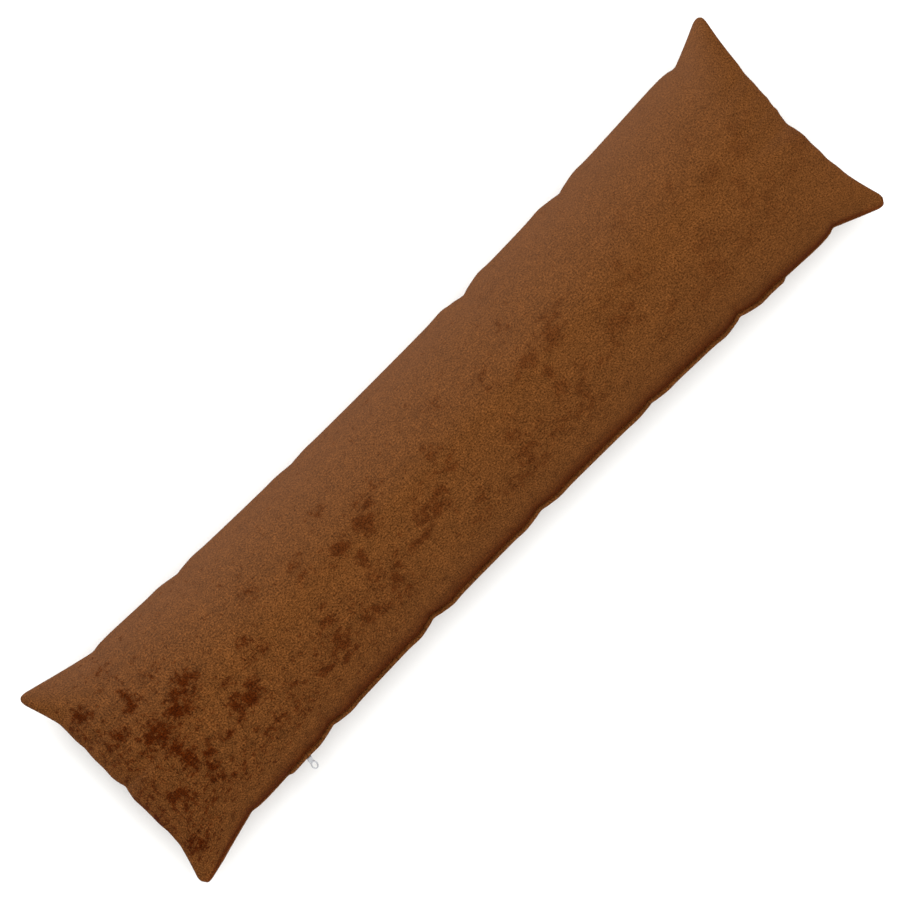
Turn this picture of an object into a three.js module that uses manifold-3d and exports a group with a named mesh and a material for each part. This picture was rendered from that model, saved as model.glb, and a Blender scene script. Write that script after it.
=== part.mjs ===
// A long lumbar pillow in short-pile velvet: a cover cut 900 x 250 mm, filled and lying on its back, with a
// knife-edge seam all round and a concealed zip in one long edge.
//
// Millimetres, +Z up. +X runs along the pillow and the zip is on the -Y edge. The origin is on the surface that
// the pillow lies on, under the middle of its outline.
//
// The cover is two faces that share one seam. The seam's outline in plan is drawn in between four pointed ears,
// with a pucker at each place where the thread has gathered the cloth. The upper face crowns over the filling,
// and the lower face is flat where it rests. Along the zip the edge carries two folded lips with a slit between
// them. The zip's chain lies behind the slit, the slider rides on the chain, and its pull tab stands out of it.
import * as THREE from "three";
import { mergeVertices } from "three/addons/utils/BufferGeometryUtils.js";
import Module from "manifold-3d";

const wasm = await Module();
wasm.setup();

// ---- The filled cover ----
const TIP_X = 438; // half the length, out to the tips of the ears
const TIP_Y = 120; // half the width, out to the tips of the ears
const TIP_RADIUS = 6; // a turned corner is never sharp
const WAIST = { halfWidth: 94, flare: 10.3, reach: 370, power: 2.2 }; // the long edges, drawn in to a waist
const SEAM_HEIGHT = { middle: 54, endDrop: 8, tipDrop: 6 }; // the seam above the surface, and how far it sinks
const CROWN = { rise: 62, acrossPower: 2.3, acrossRound: 0.6, alongPower: 7, alongRound: 0.55 };
const EAR_FOOT_Y = 76; // an end runs out into its ears from here

// Each end: how far out its middle lies, how much more it bows out by its ears' feet, how much further out it
// runs towards +Y, and the kink where the long edges turn outwards into the ears.
const ENDS = {
  west: { sign: -1, middleX: 425.6, bow: 0.5, slant: 0, kinkX: 358, kinkDepth: 2.9 },
  east: { sign: 1, middleX: 424.4, bow: 5, slant: 1.4, kinkX: 385, kinkDepth: 4.6 },
};

// Where the seam is gathered: along the long edges `at` is an X, along the ends it is a Y.
const PUCKERS = [
  { edge: "plain", at: -255, depth: 2.4, width: 9 },
  { edge: "plain", at: -112, depth: 1.5, width: 8 },
  { edge: "plain", at: 105, depth: 4.4, width: 10 },
  { edge: "plain", at: 231, depth: 3.6, width: 10 },
  { edge: "zip", at: -252, depth: 3.1, width: 9 },
  { edge: "zip", at: -119, depth: 3.7, width: 9 },
  { edge: "zip", at: 18, depth: 2.8, width: 9 },
  { edge: "zip", at: 157, depth: 1.8, width: 8 },
  { edge: "zip", at: 269, depth: 3.8, width: 9 },
  { edge: "west", at: -5, depth: 2.8, width: 5 },
  { edge: "east", at: -3, depth: 3.4, width: 6 },
  { edge: "east", at: 17, depth: 1.2, width: 5 },
];
const KINK_WIDTH = 9;
const BULGE = { share: 0.3, from: 2.4 }; // the cloth that a pucker pushes out on either side, `from` widths away
const CREASE = { share: 0.75, reach: 26 }; // the trough that runs from a pucker into each face
const PITCH = { along: 21, across: 15, least: 2.5 }; // between the stations of the seam

// ---- The zip, as sizes outwards from the seam (out) and above it (up) ----
const ZIP = { from: -313, to: 324, bar: 4 }; // X of the ends of its lips, and the cloth left closed at each end
const LIP = { out: 3.7, halfHeight: 3.4, root: 7, rounding: 1.2, ramp: 5 };
const SLIT = { halfHeight: 0.7, depth: 1.6 };
const POCKET = { depth: 5.4, halfHeight: 2.8, step: 0.1 }; // the space for the chain, never narrower than the slit
const MOUTH = { lift: 3.3, width: 9, reach: 20 }; // how far the lips open over the slider
const GAP = 0.3; // between solids that touch
const SWEEP = { clear: 1, least: 0.5 }; // a sweep's stations: clear of its ends, and the least between two
const TAPE_THICKNESS = 0.9;
const COIL = { halfWidth: 1.9, height: 1.9 };
const SLIDER = {
  x: -288,
  length: 8.6,
  noseHalfWidth: 3.5, // at the open side of the zip
  tailHalfWidth: 2.8,
  plate: 1.1,
  post: { inset: 0.6, length: 2.2, halfWidth: 0.5 },
};
const BOW = { length: 6.8, rise: 3.5, bar: 0.9, halfWidth: 0.5 };
const PULL = {
  length: 17.4,
  thickness: 0.9,
  eye: { halfWidth: 3.1, holeHalfWidth: 2.2, holeHalfLength: 1.35 },
  neck: { halfWidth: 2.1, length: 3 },
  ring: { halfWidth: 4, holeHalfWidth: 2.6, holeHalfLength: 2.7, shoulder: 2.4 },
  wall: 1.1, // the metal left at either end of the tab
  twist: 40, // degrees about its own length, away from lying level
  swing: 7, // degrees towards the near end of the zip
};

const material = (color, roughness, metalness) =>
  new THREE.MeshStandardMaterial({ color, roughness, metalness });
const VELVET = material(0x71452a, 0.95, 0);
const NYLON = material(0x4b2b17, 0.6, 0);
const SATIN_METAL = material(0xc4c4c4, 0.35, 0.8);

// ---- Outline of the seam in plan ----
const gather = (distance, { depth, width }) => {
  const d = Math.abs(distance) / width;
  return depth * (Math.exp(-d) - BULGE.share * Math.exp(-((d - BULGE.from) ** 2)));
};
const gathers = (edge, at) =>
  PUCKERS.filter((p) => p.edge === edge).reduce((sum, p) => sum + gather(at - p.at, p), 0);
const waist = (x) =>
  WAIST.halfWidth + WAIST.flare * (Math.abs(x) / WAIST.reach) ** WAIST.power;
const endAt = (x) => (x < 0 ? ENDS.west : ENDS.east);

// Half the width at x, between the kinks of the two ends.
function halfWidth(edge, x) {
  const end = endAt(x);
  const kink = end.kinkDepth * Math.exp(-(end.kinkX - Math.abs(x)) / KINK_WIDTH);
  return waist(x) - kink - gathers(edge, x);
}

// Half the length at y, between the feet of an end's ears.
function halfLength(end, y) {
  const name = end.sign < 0 ? "west" : "east";
  const f = y / EAR_FOOT_Y;
  return end.middleX + end.bow * f ** 2 + end.slant * f - gathers(name, y);
}

const lerp = THREE.MathUtils.lerp;
const steps = (count, f) => Array.from({ length: count }, (_, i) => f(i / count));

// The arc of an ear's tip.
const tipCentre = { x: TIP_X - TIP_RADIUS, y: TIP_Y - TIP_RADIUS };
const onTip = (angle) => [
  tipCentre.x + TIP_RADIUS * Math.cos(angle),
  tipCentre.y + TIP_RADIUS * Math.sin(angle),
];

// An ear's long side, from the middle of its tip's arc to the kink, as [distance from the middle, half width].
function earSide(end, edge) {
  const root = [end.kinkX, halfWidth(edge, end.sign * end.kinkX)];
  const slope = Math.atan2(tipCentre.y - root[1] + TIP_RADIUS, tipCentre.x - root[0]);
  const leaves = onTip(Math.PI / 2 + slope);
  const arc = steps(2, (f) => onTip(lerp(Math.PI / 4, Math.PI / 2 + slope, f)));
  const side = steps(5, (f) => [lerp(leaves[0], root[0], f), lerp(leaves[1], root[1], f)]);
  return [...arc, ...side];
}

// An ear's end side, from the middle of its tip's arc to its foot, for the ear on the +Y side (1) or -Y side (-1).
function earFoot(end, side) {
  const foot = [halfLength(end, side * EAR_FOOT_Y), EAR_FOOT_Y];
  const slope = Math.atan2(tipCentre.x + TIP_RADIUS - foot[0], tipCentre.y - foot[1]);
  const leaves = onTip(-slope);
  const arc = steps(2, (f) => onTip(lerp(Math.PI / 4, -slope, f)));
  const line = steps(3, (f) => [lerp(leaves[0], foot[0], f), lerp(leaves[1], foot[1], f)]);
  return [...arc, ...line];
}

// Places between two limits, about `pitch` apart, with more at the puckers so that their points are kept.
function stations(from, to, pitch, edges) {
  const puckers = PUCKERS.filter((p) => edges.includes(p.edge));
  const extra = puckers.flatMap((p) => [p.at - p.width, p.at, p.at + p.width]);
  const count = Math.round((to - from) / pitch);
  const even = Array.from({ length: count + 1 }, (_, i) => lerp(from, to, i / count));
  const clear = even.filter(
    (v, i) => i === 0 || i === count || extra.every((e) => Math.abs(e - v) > pitch / 3),
  );
  const all = [...clear, ...extra].sort((a, b) => a - b);
  return all.filter((v, i) => i === 0 || v - all[i - 1] > PITCH.least);
}

const longStations = () => stations(-ENDS.west.kinkX, ENDS.east.kinkX, PITCH.along, ["plain", "zip"]);

function longEdge(edge, side) {
  const west = earSide(ENDS.west, edge).map(([x, y]) => [-x, side * y]);
  const middle = longStations().map((x) => [x, side * halfWidth(edge, x)]);
  const east = earSide(ENDS.east, edge).map(([x, y]) => [x, side * y]);
  return [...west, ...middle, ...east.reverse()];
}

function shortEdge(end) {
  const ys = stations(-EAR_FOOT_Y, EAR_FOOT_Y, PITCH.across, ["west", "east"]);
  const south = earFoot(end, -1).map(([x, y]) => [end.sign * x, -y]);
  const middle = ys.map((y) => [end.sign * halfLength(end, y), y]);
  const north = earFoot(end, 1).map(([x, y]) => [end.sign * x, y]);
  return [...south, ...middle, ...north.reverse()];
}

// ---- The two faces ----
const seamZ = (x, y) => {
  const along = Math.abs(x) / TIP_X;
  const across = Math.abs(y) / TIP_Y;
  return (
    SEAM_HEIGHT.middle - SEAM_HEIGHT.endDrop * along ** 4 - SEAM_HEIGHT.tipDrop * along ** 8 * across ** 2
  );
};

// How full the pillow is at a place given as shares of the way from the middle out to the seam: 0 at the seam.
const fullness = (along, across) =>
  (1 - across ** CROWN.acrossPower) ** CROWN.acrossRound *
  (1 - along ** CROWN.alongPower) ** CROWN.alongRound;

// The troughs that the puckers of the long edges leave in a face.
function crease(x, y, across) {
  const edge = y > 0 ? "plain" : "zip";
  const inwards = (1 - across) * WAIST.halfWidth;
  const fade = (inwards / CREASE.reach) * Math.exp(1 - inwards / CREASE.reach);
  return PUCKERS.filter((p) => p.edge === edge).reduce(
    (sum, p) => sum + CREASE.share * p.depth * fade * Math.exp(-(((x - p.at) / p.width) ** 2)),
    0,
  );
}

// A face is a Coons patch between the four edges: its outline is the seam, and its inside follows smoothly.
function coverGeometry() {
  const south = longEdge("zip", -1);
  const north = longEdge("plain", 1);
  const west = shortEdge(ENDS.west);
  const east = shortEdge(ENDS.east);
  const columns = south.length - 1;
  const rows = west.length - 1;
  const share = (list, axis) => {
    const [first, last] = [list[0][axis], list[list.length - 1][axis]];
    return list.map((p) => (p[axis] - first) / (last - first));
  };
  const s = share(south, 0);
  const t = share(west, 1);
  const plan = (i, j) =>
    [0, 1].map((k) => {
      const ruled = lerp(south[i][k], north[i][k], t[j]) + lerp(west[j][k], east[j][k], s[i]);
      const corners = lerp(
        lerp(south[0][k], south[columns][k], s[i]),
        lerp(north[0][k], north[columns][k], s[i]),
        t[j],
      );
      return ruled - corners;
    });

  const positions = [];
  const index = { 1: [], "-1": [] };
  const onSeam = (i, j) => i === 0 || j === 0 || i === columns || j === rows;
  for (const face of [1, -1]) {
    for (let i = 0; i <= columns; i++) {
      index[face][i] = [];
      for (let j = 0; j <= rows; j++) {
        if (face === -1 && onSeam(i, j)) {
          index[face][i][j] = index[1][i][j];
          continue;
        }
        const [x, y] = plan(i, j);
        const [along, across] = [Math.abs(2 * s[i] - 1), Math.abs(2 * t[j] - 1)];
        const out = onSeam(i, j) ? 0 : CROWN.rise * fullness(along, across) - crease(x, y, across);
        index[face][i][j] = positions.length / 3;
        positions.push(x, y, Math.max(0, seamZ(x, y) + face * out));
      }
    }
  }

  const triangles = [];
  for (const face of [1, -1]) {
    const at = index[face];
    for (let i = 0; i < columns; i++) {
      for (let j = 0; j < rows; j++) {
        const [a, b, c, d] = [at[i][j], at[i + 1][j], at[i + 1][j + 1], at[i][j + 1]];
        const towardsCorner = i < columns / 2 === j < rows / 2; // so that no corner's triangle lies on the seam
        const two = towardsCorner ? [a, b, c, a, c, d] : [a, b, d, b, c, d];
        triangles.push(...(face === 1 ? two : two.reverse()));
      }
    }
  }
  return meshOf(positions, triangles);
}

function meshOf(positions, triangles) {
  const geometry = new THREE.BufferGeometry();
  geometry.setAttribute("position", new THREE.Float32BufferAttribute(positions, 3));
  geometry.setIndex(triangles);
  return geometry;
}

// ---- Sweeps along the zip's edge ----
const seamPoint = (x) => new THREE.Vector3(x, -halfWidth("zip", x), seamZ(x, -halfWidth("zip", x)));
const seamLine = longStations().map(seamPoint);

// The seam at x, on the same straight steps as the faces' own edge.
function onSeamLine(x) {
  const i = seamLine.findIndex((p) => p.x > x);
  const [a, b] = [seamLine[i - 1], seamLine[i]];
  return a.clone().lerp(b, (x - a.x) / (b.x - a.x));
}

const mouth = (x) => MOUTH.lift * Math.exp(-(((x - SLIDER.x) / MOUTH.width) ** 2));
const mouthStations = steps(12, (f) => SLIDER.x + lerp(-MOUTH.reach, MOUTH.reach, f));

// A closed section of [out, up] points, which may change with x, carried along the zip.
function sweep(section, from, to) {
  const inside = [...seamLine.map((p) => p.x), ...mouthStations, ZIP.from + LIP.ramp, ZIP.to - LIP.ramp];
  const sorted = inside
    .filter((x) => x > from + SWEEP.clear && x < to - SWEEP.clear)
    .sort((a, b) => a - b);
  const xs = [from, ...sorted.filter((x, i) => i === 0 || x - sorted[i - 1] > SWEEP.least), to];
  const positions = [];
  const triangles = [];
  const around = section(from).length;
  for (const x of xs) {
    const seam = onSeamLine(x);
    section(x).forEach(([out, up]) => positions.push(x, seam.y - out, seam.z + up));
  }
  for (let i = 0; i + 1 < xs.length; i++) {
    for (let k = 0; k < around; k++) {
      const [a, b] = [i * around + k, i * around + ((k + 1) % around)];
      triangles.push(a, a + around, b, b, a + around, b + around);
    }
  }
  const outline = section(from).map(([out, up]) => new THREE.Vector2(out, up));
  const last = (xs.length - 1) * around;
  for (const [p, q, r] of THREE.ShapeUtils.triangulateShape(outline, [])) {
    triangles.push(p, q, r, last + p, last + r, last + q);
  }
  return meshOf(positions, triangles);
}

// The folded lips, which rise out of the seam over a short ramp at either end.
const lipSection = (x) => {
  const up = LIP.halfHeight + mouth(x);
  const ramp = Math.min(1, (x - ZIP.from) / LIP.ramp, (ZIP.to - x) / LIP.ramp);
  const out = lerp(GAP, LIP.out, ramp);
  const round = Math.min(LIP.rounding, out / 2);
  return [
    [-LIP.root, -up],
    [out - round, -up],
    [out, -up + round],
    [out, up - round],
    [out - round, up],
    [-LIP.root, up],
  ];
};

// The slit between the lips, opening behind them into the pocket that holds the chain.
const slotSection = (x) => {
  const slit = SLIT.halfHeight + mouth(x);
  const pocket = Math.max(POCKET.halfHeight, slit + POCKET.step);
  return [
    [LIP.out + 1, -slit],
    [LIP.out + 1, slit],
    [-SLIT.depth, slit],
    [-SLIT.depth, pocket],
    [-POCKET.depth, pocket],
    [-POCKET.depth, -pocket],
    [-SLIT.depth, -pocket],
    [-SLIT.depth, -slit],
  ];
};

// The closed chain: its tape lies on the back of the pocket, and the coil stands up from it towards the slit.
const tapeBack = -POCKET.depth + GAP;
const tapeFront = tapeBack + TAPE_THICKNESS;
const coilTop = tapeFront + COIL.height;
const tapeHalf = POCKET.halfHeight - GAP;
const chainSection = () => [
  [tapeBack, -tapeHalf],
  [tapeFront, -tapeHalf],
  [tapeFront, -COIL.halfWidth],
  [coilTop, -COIL.halfWidth],
  [coilTop, COIL.halfWidth],
  [tapeFront, COIL.halfWidth],
  [tapeFront, tapeHalf],
  [tapeBack, tapeHalf],
];

// The way between the two halves of the chain where they are apart.
const partingHalf = SLIDER.post.halfWidth + GAP;
const partingSection = () => [
  [-POCKET.depth - 1, -partingHalf],
  [1, -partingHalf],
  [1, partingHalf],
  [-POCKET.depth - 1, partingHalf],
];

// ---- Joining and cutting ----
function solidOf(geometry) {
  const plain = geometry.index ? geometry.toNonIndexed() : geometry.clone();
  plain.deleteAttribute("normal");
  plain.deleteAttribute("uv");
  const merged = mergeVertices(plain, 1e-4);
  return new wasm.Manifold(
    new wasm.Mesh({
      numProp: 3,
      vertProperties: new Float32Array(merged.attributes.position.array),
      triVerts: new Uint32Array(merged.index.array),
    }),
  );
}

function geometryOf(solid) {
  const { vertProperties, triVerts } = solid.getMesh();
  return meshOf(Array.from(vertProperties), Array.from(triVerts));
}

function namedMesh(name, geometry, finish) {
  const mesh = new THREE.Mesh(geometry, finish);
  mesh.name = name;
  return mesh;
}

// The slider's place: its own X runs along the seam, its -Y outwards and its Z up.
const sliderPlace = new THREE.Matrix4();
{
  const along = onSeamLine(SLIDER.x + 4).sub(onSeamLine(SLIDER.x - 4)).normalize();
  const up = new THREE.Vector3(0, 0, 1).addScaledVector(along, -along.z).normalize();
  sliderPlace.makeBasis(along, up.clone().cross(along), up).setPosition(onSeamLine(SLIDER.x));
}

// A block in the slider's own place, given by its limits along the zip, outwards and up.
function block([x0, x1], [out0, out1], [up0, up1]) {
  const box = new THREE.BoxGeometry(x1 - x0, out1 - out0, up1 - up0);
  return box.translate((x0 + x1) / 2, -(out0 + out1) / 2, (up0 + up1) / 2);
}

const platesFrom = tapeBack - GAP - SLIDER.plate;
const platesTo = coilTop + GAP + SLIDER.plate;
const nose = -SLIDER.length / 2;

function cover() {
  const lips = solidOf(sweep(lipSection, ZIP.from, ZIP.to));
  const slot = solidOf(sweep(slotSection, ZIP.from + ZIP.bar, ZIP.to - ZIP.bar));
  const half = SLIDER.length / 2 + 2 * GAP;
  const up = SLIDER.noseHalfWidth + 2 * GAP;
  const sliderSpace = block([-half, half], [platesFrom - GAP, 0], [-up, up]).applyMatrix4(sliderPlace);
  return geometryOf(
    solidOf(coverGeometry()).add(lips).subtract(slot).subtract(solidOf(sliderSpace)),
  );
}

// Past the slider the two halves of the chain are apart, with the slider's post between them.
function chain() {
  const closed = sweep(chainSection, ZIP.from + ZIP.bar + GAP, ZIP.to - ZIP.bar - GAP);
  const parted = SLIDER.x + nose + SLIDER.post.inset + SLIDER.post.length + GAP;
  const parting = sweep(partingSection, ZIP.from, parted);
  return geometryOf(solidOf(closed).subtract(solidOf(parting)));
}

// The slider: two plates over and under the chain, joined by a post at the nose, with a bow for the pull.
function slider() {
  const tail = SLIDER.length / 2;
  const outline = new THREE.Shape();
  outline.moveTo(tail, -SLIDER.tailHalfWidth);
  outline.lineTo(tail, SLIDER.tailHalfWidth);
  outline.lineTo(nose + 3, SLIDER.noseHalfWidth);
  outline.quadraticCurveTo(nose, SLIDER.noseHalfWidth, nose, 0);
  outline.quadraticCurveTo(nose, -SLIDER.noseHalfWidth, nose + 3, -SLIDER.noseHalfWidth);
  outline.closePath();
  const body = new THREE.ExtrudeGeometry(outline, {
    depth: platesTo - platesFrom,
    bevelEnabled: false,
    curveSegments: 6,
  });
  body.rotateX(Math.PI / 2); // the outline's second axis turns to Z, and its depth to -Y
  body.translate(0, -platesFrom, 0);
  const through = SLIDER.length;
  const coilWay = block([-through, through], [tapeFront - GAP, coilTop + GAP], [
    -COIL.halfWidth - GAP,
    COIL.halfWidth + GAP,
  ]);
  const tapeWay = block([-through, through], [tapeBack - GAP, tapeFront + GAP], [-through, through]);
  const post = block(
    [nose + SLIDER.post.inset, nose + SLIDER.post.inset + SLIDER.post.length],
    [platesFrom + SLIDER.plate / 2, platesTo - SLIDER.plate / 2],
    [-SLIDER.post.halfWidth, SLIDER.post.halfWidth],
  );
  const halfBow = BOW.length / 2;
  const bow = block([-halfBow, halfBow], [platesTo - SLIDER.plate / 2, platesTo + BOW.rise], [
    -BOW.halfWidth,
    BOW.halfWidth,
  ]);
  const halfOpening = halfBow - BOW.bar;
  const underBow = block([-halfOpening, halfOpening], [platesTo, platesTo + BOW.rise - BOW.bar], [
    -2 * BOW.halfWidth,
    2 * BOW.halfWidth,
  ]);
  const solid = solidOf(body)
    .subtract(solidOf(coilWay))
    .subtract(solidOf(tapeWay))
    .add(solidOf(post))
    .add(solidOf(bow).subtract(solidOf(underBow)));
  return geometryOf(solid);
}

// The pull tab: an eye, a neck and a ring, cut from one plate. It lies along -Y, with the middle of its eye at 0.
function pull() {
  const { eye, neck, ring, wall } = PULL;
  const inner = -eye.holeHalfLength - wall;
  const outer = inner + PULL.length;
  const eyeEnd = eye.holeHalfLength + wall;
  const ringMiddle = outer - wall - ring.holeHalfLength;
  const side = [
    [eye.halfWidth, inner, eye.halfWidth, inner, eye.halfWidth, 0],
    [eye.halfWidth, eyeEnd, neck.halfWidth, eyeEnd, neck.halfWidth, eyeEnd + neck.length],
    [
      neck.halfWidth,
      ringMiddle - ring.shoulder,
      ring.halfWidth,
      ringMiddle - ring.shoulder,
      ring.halfWidth,
      ringMiddle,
    ],
    [ring.halfWidth, ringMiddle + ring.shoulder, ring.shoulder, outer, 0, outer],
  ];
  const tab = new THREE.Shape();
  tab.moveTo(0, inner);
  side.forEach((curve) => tab.bezierCurveTo(...curve));
  // The other side runs back through the same curves.
  side.toReversed().forEach((curve, i, curves) => {
    const next = curves[i + 1];
    const [endX, endY] = next ? next.slice(4) : [0, inner];
    tab.bezierCurveTo(-curve[2], curve[3], -curve[0], curve[1], -endX, endY);
  });
  const hole = (y, halfWidth, halfLength) =>
    new THREE.Path().absellipse(0, y, halfWidth, halfLength, 0, 2 * Math.PI, true);
  tab.holes.push(hole(0, eye.holeHalfWidth, eye.holeHalfLength));
  tab.holes.push(hole(ringMiddle, ring.holeHalfWidth, ring.holeHalfLength));
  const plate = new THREE.ExtrudeGeometry(tab, {
    depth: PULL.thickness,
    bevelEnabled: false,
    curveSegments: 7,
  });
  plate.translate(0, 0, -PULL.thickness / 2);
  return plate.rotateZ(Math.PI).rotateY(THREE.MathUtils.degToRad(PULL.twist));
}

const pillow = new THREE.Group();
pillow.add(namedMesh("pillow_cover", cover(), VELVET));
pillow.add(namedMesh("zip_chain", chain(), NYLON));

const sliderGroup = new THREE.Group();
sliderGroup.applyMatrix4(sliderPlace);
sliderGroup.add(namedMesh("zip_slider", slider(), SATIN_METAL));
pillow.add(sliderGroup);

const hinge = new THREE.Group(); // the middle of the bow's bar, where the pull hangs
hinge.position.y = -(platesTo + BOW.rise - BOW.bar / 2);
hinge.rotation.z = -THREE.MathUtils.degToRad(PULL.swing);
hinge.add(namedMesh("zip_pull", pull(), SATIN_METAL));
sliderGroup.add(hinge);

export default pillow;
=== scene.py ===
"""A long lumbar pillow in brown pile velvet, with pointed ears and a concealed zip.

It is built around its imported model. Metres, +Z up. +X runs along the pillow and the zip is in the -Y edge.
The cover is one mesh: two panels of cloth that a cloth simulation fills, and a pair of folded lips along the
zip's edge. Behind the lips are the zip's tapes, its nylon coil and its slider, whose pull stands out past
them.
"""
import math

import bpy
import numpy as np
from mathutils import Matrix, Vector, noise


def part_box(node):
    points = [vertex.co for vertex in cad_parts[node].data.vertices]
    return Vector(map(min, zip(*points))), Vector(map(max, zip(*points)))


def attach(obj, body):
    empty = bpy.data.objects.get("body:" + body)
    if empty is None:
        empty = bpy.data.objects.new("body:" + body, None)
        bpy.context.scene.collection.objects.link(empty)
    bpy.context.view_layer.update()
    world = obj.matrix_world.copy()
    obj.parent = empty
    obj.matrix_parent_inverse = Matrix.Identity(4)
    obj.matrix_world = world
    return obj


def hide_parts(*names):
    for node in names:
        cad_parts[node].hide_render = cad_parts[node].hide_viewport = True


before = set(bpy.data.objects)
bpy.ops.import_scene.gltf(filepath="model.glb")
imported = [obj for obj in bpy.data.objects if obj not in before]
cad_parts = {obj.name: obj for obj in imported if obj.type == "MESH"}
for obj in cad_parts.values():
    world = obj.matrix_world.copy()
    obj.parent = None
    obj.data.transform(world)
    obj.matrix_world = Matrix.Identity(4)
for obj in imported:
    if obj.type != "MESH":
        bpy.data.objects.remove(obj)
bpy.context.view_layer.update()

MM = 0.001
COVER_LOW, COVER_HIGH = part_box("pillow_cover")
TIP = (np.array(COVER_HIGH) - np.array(COVER_LOW))[:2] / 2  # from the middle to the tips of the ears
TIP_RADIUS = 8 * MM

# ---- The seam's outline in plan ----
WAIST = {"half": 94 * MM, "flare": 10.3 * MM, "reach": 370 * MM, "power": 2.2}  # it widens towards the ears
KINK_WIDTH = 9 * MM
EAR_FOOT_Y = 76 * MM  # where an ear leaves the end's seam
EAR_SAG = 0.6 * MM  # how far an ear's sides hollow between its tip and its foot
ENDS = {
    "west": {
        "sign": -1,
        "middle": 425.6 * MM,  # from the middle of the pillow to the middle of this end's seam
        "bow": 0.5 * MM,
        "slant": 0,
        "kink": 358 * MM,  # from the middle to where an ear leaves the long edge
        "depth": 2.9 * MM,
    },
    "east": {
        "sign": 1,
        "middle": 424.4 * MM,
        "bow": 5 * MM,
        "slant": 1.4 * MM,
        "kink": 385 * MM,
        "depth": 4.6 * MM,
    },
}
# Where the thread has gathered the seam: edge, place along it, depth and width of the notch, all in mm.
PUCKERS = [
    ("plain", -255, 2.4, 9),
    ("plain", -112, 1.5, 8),
    ("plain", 105, 4.4, 10),
    ("plain", 231, 3.6, 10),
    ("zip", -252, 3.1, 9),
    ("zip", -119, 3.7, 9),
    ("zip", 18, 2.8, 9),
    ("zip", 157, 1.8, 8),
    ("zip", 269, 3.8, 9),
    ("west", -62, 0.9, 5),
    ("west", -6, 2.6, 6),
    ("west", 44, 0.9, 5),
    ("east", -55, 0.9, 5),
    ("east", -7, 3.4, 7),
    ("east", 4, 1.8, 6),
    ("east", 15, 1.8, 4),
    ("east", 52, 0.9, 5),
]
BULGE = {"share": 0.3, "from": 2.4}  # the cloth that a pucker pushes out on either side, `from` widths away
GATHER = 0.15  # how much more cloth lies along the seam at a pucker
SEAM = {"z": 54 * MM, "end_drop": 8 * MM, "tip_drop": 6 * MM}

# ---- The panels of cloth and how they are filled ----
CUT = (900 * MM, 250 * MM)  # each panel, as cut and without its seam allowance
CELL = 5 * MM  # of the cloth that is simulated
FINE = 2.5 * MM  # of the finished mesh
START_RISE = 57 * MM  # the crown that the filling starts from
CROWN = {"across": (2.3, 0.6), "along": (7, 0.55)}  # its powers: how long it is level, how steeply it rises
SOFT_FLOOR = 4 * MM  # how gently the lower face turns on to the surface it lies on
FRAMES = 24  # of the filling
EDGE_ROLL = {"out": 1.1 * MM, "at": 5 * MM}  # the soft roll of cloth on either side of a seam
EDGE_SINK = {"in": 1.6 * MM, "reach": 1.2 * MM}  # how far the seam itself sinks between the two rolls
GROOVE_SHADE = {"zip": 3.2 * MM, "plain": 1.5 * MM}  # how far from a seam the painted shade of its groove reaches

# ---- The zip, along the -Y edge: out is away from the seam, up is above it ----
ZIP = {"from": -313 * MM, "to": 324 * MM, "ramp": 6 * MM, "bar": 4 * MM}
MOUTH = {"lift": 3.1 * MM, "width": 9 * MM}  # how the lips open over the slider
GAP = 0.3 * MM
TAPE = {"back": -5.1 * MM, "front": -4.2 * MM, "half": 2.5 * MM, "middle": 0.2 * MM}
COIL = {
    "pitch": 1.3 * MM,
    "wire": 0.27 * MM,
    "half": 1.9 * MM,
    "top": -2.3 * MM,
    "heads": 0.35 * MM,  # how far each row reaches past the middle
    "slant": 14,  # degrees
    "parted": 0.8 * MM,  # how far each row moves out where the slider has parted them
}
SLIDER = {
    "x": -288 * MM,
    "length": 8.6 * MM,
    "nose": 3.5 * MM,  # half its width at the end where the chain is parted
    "tail": 2.8 * MM,  # half its width at the end where the chain is closed
    "plate": 1.1 * MM,
    "corner": 1.6 * MM,
    "flange": (1.0 * MM, 1.8 * MM),  # how thick, and how far it stands in from the outer plate
    "dish": (0.8 * MM, 0.25 * MM),  # in the outer plate: how far from its rim, and how deep
    "post": (0.6 * MM, 2.8 * MM, 0.5 * MM),  # from and to, behind the nose, and half its width
    "parts": 3.1 * MM,  # how far behind the nose it still parts the chain
}
PLATES = (TAPE["back"] - GAP - SLIDER["plate"], COIL["top"] + GAP + SLIDER["plate"])
BOW = {
    "radius": 2.95 * MM,
    "bar": 0.9 * MM,
    "wide": 1.0 * MM,
    "sunk": 0.5 * MM,  # how deep its feet go into the outer plate
}
PULL = {
    "length": 17.4 * MM,
    "thick": 0.9 * MM,
    "wall": 1.15 * MM,
    "eye": (2.2 * MM, 1.35 * MM),  # half sizes of its hole, across and along
    "ring": (2.7 * MM, 2.8 * MM),
    "twist": 40,  # degrees about its own length
    "swing": 7,  # degrees towards the near end of the zip
}
ROUNDED = {"tape": 0.15 * MM, "slider": 0.14 * MM, "pull": 0.22 * MM}  # their sharp edges
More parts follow.
